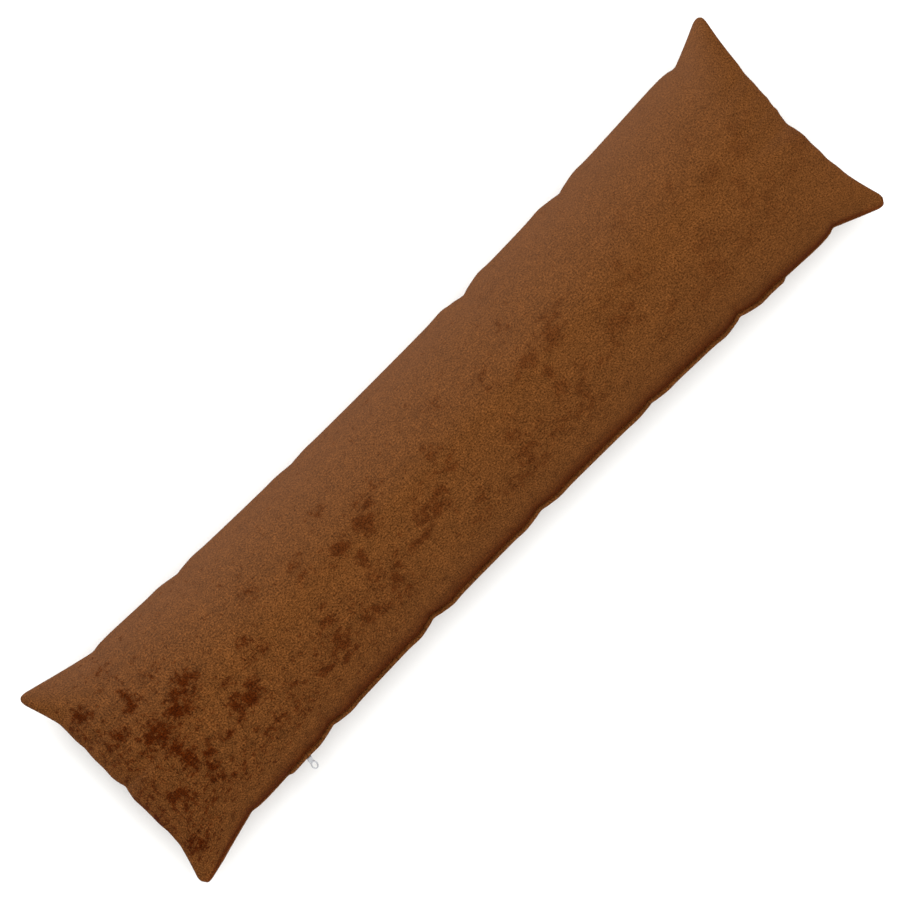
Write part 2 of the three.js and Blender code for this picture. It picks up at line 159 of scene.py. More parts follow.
# One lip's section from the groove at its root, round its fold and back into the pocket; and beside it the
# section that the plain seam has past the lips' ends. All in mm: lip out, lip up, rim out, rim up.
LIP_SECTION = [
    (-1.0, 1.6, -0.4, 0.5),
    (-0.3, 1.7, 0.0, 0.9),
    (0.2, 2.5, 0.4, 1.3),
    (0.9, 3.4, 0.9, 1.5),
    (1.9, 3.8, 1.3, 1.4),
    (3.0, 3.6, 1.6, 1.15),
    (3.8, 2.9, 1.75, 0.8),
    (4.1, 1.9, 1.65, 0.5),
    (3.9, 1.0, 1.35, 0.25),
    (3.1, 0.6, 1.0, 0.1),
    (1.9, 0.5, 0.7, 0.05),
    (0.3, 0.5, 0.4, 0.04),
    (-1.5, 0.6, 0.2, 0.04),
    (-2.1, 2.3, 0.15, 0.04),
    (-5.2, 2.7, 0.1, 0.03),
]
RIM_ENDS = 30 * MM  # how far from the tips the section starts to shrink away
LIP_REACH = 26 * MM  # how far into the panels the cloth bends towards the lips


# ---- The outline, seen from above ----


def gathers(edge, at):
    """How far the puckers draw an edge in, at places along it."""
    total = np.zeros_like(at)
    for name, place, depth, width in PUCKERS:
        if name == edge:
            d = np.abs(at - place * MM) / (width * MM)
            total += depth * MM * (np.exp(-d) - BULGE["share"] * np.exp(-((d - BULGE["from"]) ** 2)))
    return total


def half_width(edge, x):
    """From the middle line to a long edge's seam, between the kinks of the ears."""
    x = np.asarray(x, float)
    kink, depth = (np.where(x < 0, ENDS["west"][key], ENDS["east"][key]) for key in ("kink", "depth"))
    waist = WAIST["half"] + WAIST["flare"] * (np.abs(x) / WAIST["reach"]) ** WAIST["power"]
    return waist - depth * np.exp(-(kink - np.abs(x)) / KINK_WIDTH) - gathers(edge, x)


def half_length(name, y):
    """From the middle line to an end's seam, between the feet of its ears."""
    y = np.asarray(y, float)
    end, f = ENDS[name], y / EAR_FOOT_Y
    return end["middle"] + end["bow"] * f**2 + end["slant"] * f - gathers(name, y)


def ear_line(leaves_at, root, hollow):
    """One side of an ear, from the middle of its tip's arc to its root, in the first quadrant."""
    angles = np.linspace(math.pi / 4, leaves_at, 8)
    arc = TIP - TIP_RADIUS + TIP_RADIUS * np.stack([np.cos(angles), np.sin(angles)], -1)
    f = np.linspace(0, 1, 50)[1:-1, None]
    side = arc[-1] * (1 - f) + root * f - np.sin(np.pi * f) * hollow
    return np.concatenate([arc, side])


def long_edge(edge):
    """A long edge's seam from the west tip to the east tip."""
    ears = {}
    for name, end in ENDS.items():
        root = np.array([end["kink"], float(half_width(edge, end["sign"] * end["kink"]))])
        slope = math.atan2(TIP[1] - root[1], TIP[0] - TIP_RADIUS - root[0])
        ears[name] = ear_line(math.pi / 2 + slope, root, np.array([0, EAR_SAG])) * [end["sign"], 1]
    x = np.linspace(-ENDS["west"]["kink"], ENDS["east"]["kink"], 800)
    middle = np.stack([x, half_width(edge, x)], -1)
    return np.concatenate([ears["west"], middle, ears["east"][::-1]]) * [1, -1 if edge == "zip" else 1]


def short_edge(name):
    """An end's seam from its -Y tip to its +Y tip."""
    ears = []
    for side in (-1, 1):
        root = np.array([float(half_length(name, side * EAR_FOOT_Y)), EAR_FOOT_Y])
        slope = math.atan2(TIP[0] - root[0], TIP[1] - TIP_RADIUS - root[1])
        ears.append(ear_line(-slope, root, np.array([EAR_SAG, 0])) * [1, side])
    y = np.linspace(-EAR_FOOT_Y, EAR_FOOT_Y, 300)
    middle = np.stack([half_length(name, y), y], -1)
    return np.concatenate([ears[0], middle, ears[1][::-1]]) * [ENDS[name]["sign"], 1]


def along_edge(points, edge, axis, shares):
    """The places on an edge's seam at these shares of its cloth, which is gathered at the puckers."""
    step = np.linalg.norm(np.diff(points, axis=0), axis=1)
    middle = (points[1:, axis] + points[:-1, axis]) / 2 / MM
    cloth = np.ones(len(step))
    for name, place, depth, width in PUCKERS:
        if name == edge:
            cloth += GATHER * depth / 3 * np.exp(-(((middle - place) / (1.3 * width)) ** 2))
    used = np.concatenate([[0], np.cumsum(step * cloth)])
    return np.stack([np.interp(shares * used[-1], used, points[:, k]) for k in (0, 1)], -1)


def seam_z(x, y):
    """The height of the seam, which sinks a little towards the ends and the tips of the ears."""
    along, across = np.abs(x) / TIP[0], np.abs(y) / TIP[1]
    return SEAM["z"] - SEAM["end_drop"] * along**4 - SEAM["tip_drop"] * along**8 * across**2


# ---- The panels before they are filled ----


def crown(way, share):
    """The height of the crown, from 0 to 1, at a share of the way across or along the pillow."""
    level, steep = CROWN[way]
    return (1 - np.abs(2 * share - 1) ** level) ** steep


def even_over(way, count, chord):
    """Shares of the way over the crown that leave equal lengths of cloth between them."""
    share = np.linspace(0, 1, 4001)
    length = np.hypot(np.diff(share) * chord, np.diff(START_RISE * crown(way, share)))
    used = np.concatenate([[0], np.cumsum(length)])
    return np.interp(np.linspace(0, used[-1], count + 1), used, share)


def start_panels():
    """The upper and lower panels as grids of points, lightly filled, and the same grid flat, as cut."""
    columns, rows = (round(size / CELL) for size in CUT)
    even_s, even_t = np.linspace(0, 1, columns + 1)[:, None], np.linspace(0, 1, rows + 1)[None]
    crown_s = even_over("along", columns, 2 * ENDS["west"]["middle"])[:, None]
    crown_t = even_over("across", rows, 2 * WAIST["half"])[None]
    # Away from the seams the cloth climbs the crown, so it is spread evenly over the crown's own length.
    s = even_s + (crown_s - even_s) * crown("across", even_t)
    t = even_t + (crown_t - even_t) * crown("along", even_s)
    south = along_edge(long_edge("zip"), "zip", 0, s)
    north = along_edge(long_edge("plain"), "plain", 0, s)
    west = along_edge(short_edge("west"), "west", 1, t)
    east = along_edge(short_edge("east"), "east", 1, t)
    fs, ft = s[..., None], t[..., None]
    corners = [
        ((-1, -1), (1 - fs) * (1 - ft)),
        ((-1, 1), (1 - fs) * ft),
        ((1, -1), fs * (1 - ft)),
        ((1, 1), fs * ft),
    ]
    tip = TIP - TIP_RADIUS * (1 - math.sqrt(0.5))
    plan = (1 - ft) * south + ft * north + (1 - fs) * west + fs * east
    plan -= sum(weight * (tip * signs) for signs, weight in corners)
    z = seam_z(plan[..., :1], plan[..., 1:])
    rise = START_RISE * (crown("across", t) * crown("along", s))[..., None]
    flat = np.stack(np.broadcast_arrays(CUT[0] * (even_s - 0.5), CUT[1] * (even_t - 0.5), 0.0), -1)
    return np.concatenate([plan, z + rise], -1), np.concatenate([plan, z - rise], -1), flat


# ---- Filling the panels ----


def grid_faces(index, flip=False):
    """The faces of a grid of vertex numbers. A cell whose corners have met keeps the corners that differ."""
    corners = [index[:-1, :-1], index[1:, :-1], index[1:, 1:], index[:-1, 1:]]
    cells = np.stack(corners, -1).reshape(-1, 4)[:, :: -1 if flip else 1].tolist()
    faces = [list(dict.fromkeys(cell)) for cell in cells]
    return [face for face in faces if len(face) > 2]


def sewn_panels(upper, lower, flat):
    """The two panels as one mesh, sewn together all round, and each one's grid of vertex numbers."""
    index = np.arange(upper[..., 0].size).reshape(upper.shape[:2])
    inside = np.zeros(index.shape, bool)
    inside[1:-1, 1:-1] = True
    under = index.copy()
    under[inside] = index.size + np.arange(inside.sum())
    points = np.concatenate([upper.reshape(-1, 3), lower[inside]])
    mesh = bpy.data.meshes.new("panels")
    mesh.from_pydata(points.tolist(), [], grid_faces(index) + grid_faces(under, flip=True))
    panels = bpy.data.objects.new("panels", mesh)
    bpy.context.scene.collection.objects.link(panels)
    panels.vertex_groups.new(name="seam").add(index[~inside].tolist(), 1.0, "REPLACE")
    panels.shape_key_add(name="filled")
    as_cut = panels.shape_key_add(name="as_cut")
    as_cut.data.foreach_set("co", np.concatenate([flat.reshape(-1, 3), flat[inside]]).astype("f").ravel())
    return panels, index, under


def fill(upper, lower, flat):
    """Simulates the two panels with the filling's pressure in them, their seam held where it is."""
    panels, index, under = sewn_panels(upper, lower, flat)
    cloth = panels.modifiers.new("Cloth", "CLOTH")
    settings = cloth.settings
    settings.quality = 6
    settings.tension_stiffness = settings.compression_stiffness = 30
    settings.shear_stiffness = 10
    settings.bending_stiffness = 2
    settings.use_pressure = True
    settings.uniform_pressure_force = 6
    settings.effector_weights.gravity = 0
    settings.vertex_group_mass = "seam"
    settings.rest_shape_key = panels.data.shape_keys.key_blocks["as_cut"]
    cloth.collision_settings.use_collision = False
    cloth.point_cache.frame_start, cloth.point_cache.frame_end = 1, FRAMES
    for step in range(1, FRAMES + 1):
        bpy.context.scene.frame_set(step)
    filled = panels.evaluated_get(bpy.context.evaluated_depsgraph_get()).to_mesh()
    points = np.empty(len(filled.vertices) * 3, "f")
    filled.vertices.foreach_get("co", points)
    points = points.reshape(-1, 3).astype(float)
    bpy.context.scene.frame_set(1)
    bpy.data.objects.remove(panels)
    return points[index], points[under]


# ---- The finished cover ----


def fine_places(length):
    """Places across a panel, FINE apart, with one more beside each seam to turn the cloth into it."""
    count = round(length / FINE)
    even = np.arange(count + 1) * length / count
    return np.concatenate([[0, FINE / 2], even[1:-1], [length - FINE / 2, length]])


def between(count, cell, places):
    """The weights that carry `count` points, `cell` apart, on to places between them along smooth curves."""
    weights = np.zeros((len(places), count))
    for row, place in zip(weights, places):
        i = min(int(place / cell), count - 2)
        f = place / cell - i
        near = [
            (-f + 2 * f**2 - f**3) / 2,
            (2 - 5 * f**2 + 3 * f**3) / 2,
            (f + 4 * f**2 - 3 * f**3) / 2,
            (-(f**2) + f**3) / 2,
        ]
        for k, weight in zip(range(i - 1, i + 3), near):
            if 0 <= k < count:
                row[k] += weight
            else:  # past the seam the curve runs straight on
                end, inner = (0, 1) if k < 0 else (count - 1, count - 2)
                row[end] += 2 * weight
                row[inner] -= weight
    return weights


def refine(grid, xs, ys):
    """A panel's grid of points, carried on to finer places along and across it."""
    along = between(grid.shape[0], CELL, xs)
    across = between(grid.shape[1], CELL, ys)
    return np.einsum("ai,bj,ijk->abk", along, across, grid)


def on_floor(z):
    """z, turned gently on to the surface at 0."""
    r = SOFT_FLOOR
    return np.where(z < -r, 0, np.where(z < r, (z + r) ** 2 / (4 * r), z))


def mouth(x):
    """How far each lip is lifted at places along the zip, where they open over the slider."""
    return MOUTH["lift"] * np.exp(-(((x - SLIDER["x"]) / MOUTH["width"]) ** 2))


def lip_sections(seam):
    """The lips' section at each point of the zip's seam: points from the upper groove to the lower one."""
    x = seam[:, 0]
    zipped = np.clip(np.minimum(x - ZIP["from"], ZIP["to"] - x) / ZIP["ramp"], 0, 1)
    zipped = (zipped * zipped * (3 - 2 * zipped))[:, None]
    rim = np.clip((TIP[0] - np.abs(x)) / RIM_ENDS, 0, 1)[:, None]
    lip_out, lip_up, rim_out, rim_up = np.array(LIP_SECTION).T[:, None] * MM
    out = (rim_out * (1 - zipped) + lip_out * zipped) * rim
    up = (rim_up * (1 - zipped) + lip_up * zipped) * rim + mouth(x)[:, None]
    upper = np.stack([np.broadcast_to(x[:, None], out.shape), seam[:, 1:2] - out, seam[:, 2:] + up], -1)
    lower = upper.copy()
    lower[..., 2] = 2 * seam[:, 2:] - upper[..., 2]
    return np.concatenate([upper, lower[:, ::-1]], 1)


def roll(distance):
    """How far the cloth stands out, at a distance from a seam that it turns down into."""
    d = distance / EDGE_ROLL["at"]
    return EDGE_ROLL["out"] * d * np.exp(1 - d)


def turned_out(distance):
    """The same for a knife-edge seam, which also sinks a little between its two rolls."""
    return roll(distance) - EDGE_SINK["in"] * np.exp(-distance / EDGE_SINK["reach"])


# Where hands have laid the pile the other way, all in mm but the last: place, half size along and across,
# and how dark the mark looks, from 0 to 1. This group comes again and again along the pillow, as the roller
# that finished the cloth went round.
NAP_GROUP = [
    (-134, 9, 9, 6, 1.0),
    (-150, 4, 6, 3, 0.5),
    (-102, 9, 9, 7, 1.0),
    (-90, 20, 8, 4, 0.85),
    (-92, 27, 9, 4, 0.6),
    (-75, 25, 7, 4, 0.5),
    (-125, -14, 4, 6, 1.0),
    (-130, -30, 6, 5, 0.75),
    (-136, -40, 8, 4, 0.5),
    (-112, -38, 7, 4, 0.85),
    (-118, -47, 6, 7, 0.8),
    (-101, -29, 5, 4, 0.6),
    (-122, -59, 17, 7, 0.55),
    (-58, -24, 7, 8, 0.85),
    (-46, -28, 8, 5, 1.0),
    (-36, -20, 6, 5, 0.9),
    (-36, -34, 4, 5, 0.5),
    (-83, -38, 7, 3, 0.85),
    (-69, -37, 7, 4, 0.65),
    (-50, -5, 9, 5, 0.45),
    (-15, 12, 5, 5, 0.8),
    (-24, -4, 7, 4, 0.5),
    (-10, -6, 8, 6, 0.6),
    (-9, -49, 8, 4, 0.6),
    (-24, -62, 12, 4, 0.5),
    (20, -60, 13, 6, 0.6),
    (17, 39, 8, 8, 0.45),
    (-180, -18, 6, 3, 0.5),
    (-188, -29, 9, 8, 0.6),
    (-192, -49, 10, 8, 0.8),
    (-194, -63, 13, 5, 0.65),
    (-164, -38, 8, 5, 0.5),
    (-152, -54, 15, 6, 0.65),
    (-173, 27, 8, 5, 0.55),
    (-175, 14, 7, 4, 0.5),
    (-128, 46, 8, 6, 0.4),
]
NAP_REPEATS = (-237, 0, 237, 474)  # how far along the group comes again
# How far the marks stray from these places. The seed is fixed, because otherwise each run strays its own way.
NAP_WANDER = {"by": 4 * MM, "over": 16 * MM, "seed": 2}
# How deep the marks are at places along the pillow, and the marks that are only at its west end.
NAP_DEPTH = [(-440, 0.95), (-300, 0.85), (-131, 0.64), (106, 0.46), (343, 0.22), (440, 0.2)]
NAP_AT_WEST_END = [
    (-407, 67, 10, 6, 0.85),
    (-418, 58, 7, 12, 0.45),
    (-365, 46, 8, 9, 0.75),
    (-366, 80, 11, 9, 0.35),
    (-335, 51, 12, 7, 0.4),
    (-392, 31, 9, 7, 0.85),
    (-405, 28, 10, 8, 0.5),
    (-407, 44, 10, 7, 0.4),
    (-366, 6, 13, 12, 0.85),
    (-336, 8, 14, 9, 0.8),
    (-320, 21, 14, 9, 0.8),
    (-380, 0, 10, 9, 0.5),
    (-400, 5, 12, 16, 0.4),
    (-362, -22, 8, 18, 0.8),
    (-396, -45, 11, 8, 0.75),
    (-408, -24, 10, 14, 0.45),
    (-414, -87, 9, 11, 0.75),
    (-398, -84, 14, 9, 0.5),
    (-370, -5, 45, 45, 0.3),
    (-360, -66, 60, 13, 0.42),
    (-275, -64, 38, 12, 0.45),
    (-200, -50, 60, 22, 0.3),
]


def nap_of(points):
    """How far the nap has turned over at each point, from 0 to 1."""
    flat = points.reshape(-1, 3)
    noise.seed_set(NAP_WANDER["seed"])
    wander = np.array([noise.noise_vector(Vector(p / NAP_WANDER["over"])) for p in flat])
    x, y = (flat + NAP_WANDER["by"] * wander)[:, :2].T / MM
    marks = [(at_x + dx, *mark) for dx in NAP_REPEATS for at_x, *mark in NAP_GROUP]
    nap = np.zeros(len(flat))
    for at_x, at_y, half_x, half_y, dark in marks + NAP_AT_WEST_END:
        away = ((x - at_x) / half_x) ** 2 + ((y - at_y) / half_y) ** 2
        nap = np.maximum(nap, dark * np.exp(-away * 0.5))
    return nap.reshape(points.shape[:-1])


def make_cover():
    """The cover: two panels filled, refined and turned in along their seams, and joined by the lips."""
    upper, lower, flat = start_panels()
    upper, lower = fill(upper, lower, flat)
    xs, ys = (fine_places(size) for size in CUT)
    upper, lower = refine(upper, xs, ys), refine(lower, xs, ys)
    from_west, from_south = np.broadcast_arrays(xs[:, None], ys[None])
    from_east, from_north = CUT[0] - from_west, CUT[1] - from_south
    lips = lip_sections(upper[:, 0])
    fade = (np.clip(1 - from_south / LIP_REACH, 0, 1) ** 2)[..., None]
    to_lips = [fade * (edge - upper[:, 0])[:, None] for edge in (lips[:, 0], lips[:, -1])]
    for panel, to_lip in zip((upper, lower), to_lips):
        panel += to_lip  # along the zip each panel ends in the groove at the root of its lip
        panel[..., 1] += turned_out(from_north)
        panel[..., 0] += turned_out(from_east) - turned_out(from_west)
    lips[..., 0] += (turned_out(from_east) - turned_out(from_west))[:, :1]
    lower[..., 2] = on_floor(lower[..., 2])
    return cover_mesh(upper, lower, lips, xs, ys)


def cover_mesh(upper, lower, lips, xs, ys):
    """One closed mesh of both panels and the lips."""
    columns, rows, around = len(xs), len(ys), lips.shape[1]
    top = np.arange(columns * rows).reshape(columns, rows)
    under = np.full_like(top, -1)
    under[:, -1], under[0], under[-1] = top[:, -1], top[0], top[-1]
    new = under < 0
    under[new] = top.size + np.arange(new.sum())
    strip = np.full((columns, around), -1)
    strip[:, 0], strip[:, -1] = top[:, 0], under[:, 0]
    strip[0], strip[-1] = top[0, 0], top[-1, 0]
    extra = strip < 0
    strip[extra] = top.size + new.sum() + np.arange(extra.sum())
    points = np.concatenate([upper.reshape(-1, 3), lower[new], lips[extra]])
    mesh = bpy.data.meshes.new("cover")
    faces = [grid_faces(top), grid_faces(strip[:, ::-1]), grid_faces(under, flip=True)]
    mesh.from_pydata(points.tolist(), [], sum(faces, []))

    # The cloth unrolled: the upper panel, the lips below it, and the lower panel below them.
    wide = np.linalg.norm(np.diff(lips, axis=1), axis=-1).mean(0)
    down = -np.concatenate([[0], np.cumsum(wide)])
    heights = [(top, ys), (strip, down), (under, down[-1] - ys)]
    unroll(mesh, xs - CUT[0] / 2, heights, [sum(len(face) for face in some) for some in faces])
    brush(mesh, points, ys, top, strip, under, new)
    mesh.shade_smooth()
    cover = bpy.data.objects.new("cover", mesh)
    bpy.context.scene.collection.objects.link(cover)
    return cover


def unroll(mesh, flat_x, heights, corner_counts):
    """Gives the mesh the cloth's own flat coordinates as its UV map, one grid after another."""
    loop_vertex = np.empty(len(mesh.loops), int)
    mesh.loops.foreach_get("vertex_index", loop_vertex)
    spots = np.empty((len(loop_vertex), 2))
    first = 0
    for (index, height), corners in zip(heights, corner_counts):
        last = first + corners
        place = np.zeros((len(mesh.vertices), 2))
        place[index] = np.stack(np.broadcast_arrays(flat_x[:, None], height[None]), -1)
        spots[first:last] = place[loop_vertex[first:last]]
        first = last
    mesh.uv_layers.new(name="cloth").uv.foreach_set("vector", spots.astype("f").ravel())


def brush(mesh, points, ys, top, strip, under, new):
    """Gives each vertex how far its pile is turned over and how deep, and what places painted light and
    shade: how far it faces +Y, and how near a seam's groove it is.
    """
    nap, depth, light_side, groove_shade = np.zeros((4, len(points)))
    nap[top] = nap_of(points[top])
    nap[under[new]] = nap_of(points[under[new]] * [-1, -1, 1])  # the lower face is the upper one turned round
    depth[:] = np.interp(points[:, 0] / MM, *zip(*NAP_DEPTH))
    # Painted sheen and shade follow how far each point faces +Y, towards the key lamp; the lips get none.
    normals = np.empty(len(points) * 3)
    mesh.vertex_normals.foreach_get("vector", normals)
    light_side[:] = normals[1::3]
    light_side[strip[1:-1, 2:-2]] = 0
    # Painted shade in the seams' grooves, deepest along the zip's groove, and on the lips beside it.
    from_south, from_north = np.broadcast_arrays(ys[None], CUT[1] - ys[None])
    for index in (top, under):
        groove_shade[index] = np.exp(-from_south / GROOVE_SHADE["zip"]) + 0.5 * np.exp(-from_north / GROOVE_SHADE["plain"])
    groove_shade[strip[:, [1, 2, -3, -2]]] = (1, 0.6, 0.6, 1)
    for name, values in (("nap", nap), ("nap_depth", depth), ("light_side", light_side), ("groove_shade", groove_shade)):
        mesh.attributes.new(name, "FLOAT", "POINT").data.foreach_set("value", values.astype("f"))


# ---- Modelling with Blender's own tools ----


def deselect():
    bpy.ops.object.select_all(action="DESELECT")


def edit(piece, chosen, mode="VERT"):
    """Goes into edit mode on a piece with only its chosen vertices, edges or faces selected."""
    deselect()
    piece.select_set(True)
    bpy.context.view_layer.objects.active = piece
    mesh = piece.data
    for parts in (mesh.vertices, mesh.edges, mesh.polygons):
        parts.foreach_set("select", [False] * len(parts))
    parts = {"VERT": mesh.vertices, "EDGE": mesh.edges, "FACE": mesh.polygons}[mode]
    for part in parts:
        part.select = chosen(part)
    bpy.ops.object.mode_set(mode="EDIT")
    bpy.ops.mesh.select_mode(type=mode)


def leave():
    bpy.ops.object.mode_set(mode="OBJECT")


def finish(piece, *modifiers):
    """Adds modifiers, each a kind and its settings, and applies them one after another."""
    deselect()
    piece.select_set(True)
    bpy.context.view_layer.objects.active = piece
    for kind, settings in modifiers:
        modifier = piece.modifiers.new(kind.title(), kind)
        for name, value in settings.items():
            setattr(modifier, name, value)
        bpy.ops.object.modifier_apply(modifier=modifier.name)
    return piece


def block(name, low, high):
    """A block between two corners, its place in its mesh."""
    deselect()
    low, high = Vector(low), Vector(high)
    bpy.ops.mesh.primitive_cube_add(size=1, location=(low + high) / 2, scale=high - low)
    bpy.ops.object.transform_apply()
    piece = bpy.context.object
    piece.name = name
    return piece


def united(first, *others):
    """Welds pieces into the first one, as one solid."""
    for other in others:
        finish(first, ("BOOLEAN", {"operation": "UNION", "solver": "EXACT", "object": other}))
        bpy.data.objects.remove(other)
    return first


# ---- The zip ----


def seam_point(x):
    """The point of the zip's seam that is at x."""
    y = -float(half_width("zip", x))
    return Vector((x, y, float(seam_z(x, y))))


def slider_place():
    """The slider's own place: X along the seam, -Y outwards and Z up."""
    along = (seam_point(SLIDER["x"] + 4 * MM) - seam_point(SLIDER["x"] - 4 * MM)).normalized()
    up = (Vector((0, 0, 1)) - along * along.z).normalized()
    turn = Matrix((along, up.cross(along), up)).transposed()
    return Matrix.Translation(seam_point(SLIDER["x"])) @ turn.to_4x4()


def make_tape(name, side):
    """One of the two woven tapes: its section, extruded along the seam."""
    xs = np.linspace(ZIP["from"] + ZIP["bar"] + GAP, ZIP["to"] - ZIP["bar"] - GAP, 150)
    start = seam_point(xs[0])
    low = side * TAPE["middle"] if side > 0 else -TAPE["half"]
    high = TAPE["half"] if side > 0 else -TAPE["middle"]
    deselect()
    bpy.ops.mesh.primitive_plane_add(size=1, rotation=(0, math.pi / 2, 0))
    bpy.ops.object.transform_apply()
    tape = bpy.context.object
    tape.name = name
    thick = TAPE["front"] - TAPE["back"]
    size = Matrix.Diagonal((1, thick, high - low, 1))
    middle = start + Vector((0, -(TAPE["front"] + TAPE["back"]) / 2, (low + high) / 2))
    tape.data.transform(Matrix.Translation(middle) @ size)
    edit(tape, lambda face: True, "FACE")
    for x in xs[1:]:
        step = seam_point(x) - start
        bpy.ops.mesh.extrude_region_move(TRANSFORM_OT_translate={"value": step})
        start = start + step
    bpy.ops.mesh.select_all(action="SELECT")
    bpy.ops.mesh.normals_make_consistent(inside=False)
    leave()
    return finish(tape, ("BEVEL", {"width": ROUNDED["tape"], "segments": 1, "limit_method": "ANGLE"}))


def make_turn(reach):
    """One turn of the coil, from a ring drawn out to half its height, `reach`, and slanted."""
    deselect()
    deep = (COIL["top"] - TAPE["front"]) / 2 - COIL["wire"]
    bpy.ops.mesh.primitive_torus_add(
        major_segments=10,
        minor_segments=4,
        major_radius=deep,
        minor_radius=COIL["wire"],
        rotation=(0, math.pi / 2, 0),
    )
    bpy.ops.object.transform_apply()
    turn = bpy.context.object
    turn.name = "zip_coil"
    for side in (1, -1):
        edit(turn, lambda vertex: vertex.co.z * side > 0.1 * MM)
        bpy.ops.transform.translate(value=(0, 0, side * (reach - deep)))
        leave()
    edit(turn, lambda vertex: True)
    bpy.ops.transform.rotate(value=math.radians(COIL["slant"]), orient_axis="Y", center_override=(0, 0, 0))
    leave()
    return turn


def make_coil():
    """The coil: two rows of nylon turns whose heads reach between each other, parted past the slider."""
    reach = (COIL["half"] + COIL["heads"]) / 2 - COIL["wire"]
    coil = make_turn(reach)
    count = len(coil.data.vertices)
    shape = np.empty(count * 3)
    coil.data.vertices.foreach_get("co", shape)
    shape = shape.reshape(-1, 3)
    faces = np.array([list(face.vertices) for face in coil.data.polygons])
    first, last = ZIP["from"] + ZIP["bar"] + COIL["pitch"], ZIP["to"] - ZIP["bar"] - COIL["pitch"]
    parted_to = SLIDER["x"] - SLIDER["length"] / 2 + SLIDER["parts"]
    points, cells = [], []
    for side in (1, -1):
        for x in np.arange(first + (side > 0) * COIL["pitch"] / 2, last, COIL["pitch"]):
            up = COIL["half"] - reach - COIL["wire"] + (COIL["parted"] if x < parted_to else 0)
            middle = seam_point(x) + Vector((0, -(COIL["top"] + TAPE["front"]) / 2, side * up))
            cells.append(faces + count * len(points))
            points.append(shape + np.array(middle))
    mesh = bpy.data.meshes.new("zip_coil")
    mesh.from_pydata(np.concatenate(points).tolist(), [], np.concatenate(cells).tolist())
    mesh.shade_smooth()
    coil.data = mesh
    return coil


def make_slider():
    """The slider: an outer plate with its two flanges, an inner plate, the post between them and the bow."""
    nose, tail = -SLIDER["length"] / 2, SLIDER["length"] / 2
    inner, outer = -PLATES[0], -PLATES[1]  # along the place's Y, which runs inwards
    plate, wide = SLIDER["plate"], SLIDER["nose"]
    flange, stands = SLIDER["flange"]
    rim, dish = SLIDER["dish"]
    shell = block("zip_slider_body", (nose, outer, -wide), (tail, outer + plate, wide))
    edit(shell, lambda face: face.normal.y > 0.9, "FACE")
    bpy.ops.mesh.inset(thickness=flange)
    leave()
    edit(shell, lambda face: face.normal.y > 0.9 and abs(face.center.z) > wide - flange, "FACE")
    bpy.ops.mesh.extrude_region_move(TRANSFORM_OT_translate={"value": (0, stands, 0)})
    leave()
    edit(shell, lambda face: face.normal.y < -0.9, "FACE")
    bpy.ops.mesh.inset(thickness=rim)
    bpy.ops.transform.translate(value=(0, dish, 0))
    leave()
    back = block("inner_plate", (nose, inner - plate, -wide), (tail, inner, wide))
    for piece in (shell, back):
        edit(piece, lambda vertex: vertex.co.x > 0)
        bpy.ops.transform.resize(value=(1, 1, SLIDER["tail"] / wide), center_override=(0, 0, 0))
        leave()
        edit(piece, lambda edge: long_corner(piece, edge, nose), "EDGE")
        bpy.ops.mesh.bevel(offset=SLIDER["corner"], segments=4)
        leave()
    start, end, half = SLIDER["post"]
    post = block("post", (nose + start, outer + plate / 2, -half), (nose + end, inner - plate / 2, half))
    body = united(shell, back, post, make_bow(outer))
    return finish(body, ("BEVEL", {"width": ROUNDED["slider"], "segments": 2, "limit_method": "ANGLE"}))


def long_corner(piece, edge, x):
    """Whether an edge is one of a plate's two corners at x, running through its thickness."""
    a, b = (piece.data.vertices[i].co for i in edge.vertices)
    outermost = max(vertex.co.z for vertex in piece.data.vertices if abs(vertex.co.x - x) < 0.01 * MM)
    at_end = abs(a.x - x) < 0.01 * MM and abs(b.x - x) < 0.01 * MM
    return at_end and abs(a.z - b.z) < 0.01 * MM and abs(a.z) > outermost - 0.01 * MM


def make_bow(outer):
    """The bow on the outer plate: a flat bar that rises from one foot and turns over to the other."""
    deselect()
    bpy.ops.mesh.primitive_plane_add(size=1, rotation=(math.pi / 2, 0, 0))
    bpy.ops.object.transform_apply()
    bow = bpy.context.object
    bow.name = "bow"
    foot = Matrix.Translation((-BOW["radius"], outer + BOW["sunk"], 0))
    bow.data.transform(foot @ Matrix.Diagonal((BOW["bar"], 1, BOW["wide"], 1)))
    edit(bow, lambda face: True, "FACE")
    bpy.ops.mesh.extrude_region_move(TRANSFORM_OT_translate={"value": (0, -BOW["sunk"], 0)})
    bpy.ops.mesh.spin(steps=12, angle=math.pi, center=(0, outer, 0), axis=(0, 0, -1))
    bpy.ops.mesh.extrude_region_move(TRANSFORM_OT_translate={"value": (0, BOW["sunk"], 0)})
    bpy.ops.mesh.select_all(action="SELECT")
    bpy.ops.mesh.remove_doubles(threshold=0.001 * MM)
    bpy.ops.mesh.normals_make_consistent(inside=False)
    leave()
    return bow


def oval(name, middle, hole, wall):
    """A flat oval ring, level, with its hole's half sizes across and along."""
    deselect()
    bpy.ops.mesh.primitive_circle_add(vertices=28, radius=1, fill_type="NOTHING")
    ring = bpy.context.object
    ring.name = name
    edit(ring, lambda vertex: True)
    bpy.ops.transform.resize(value=(hole[0], hole[1], 1), center_override=(0, 0, 0))
    bpy.ops.mesh.extrude_edges_move()
    bpy.ops.transform.resize(value=(1 + wall / hole[0], 1 + wall / hole[1], 1), center_override=(0, 0, 0))
    bpy.ops.mesh.select_all(action="SELECT")
    bpy.ops.transform.translate(value=(0, middle, 0))
    leave()
    return ring


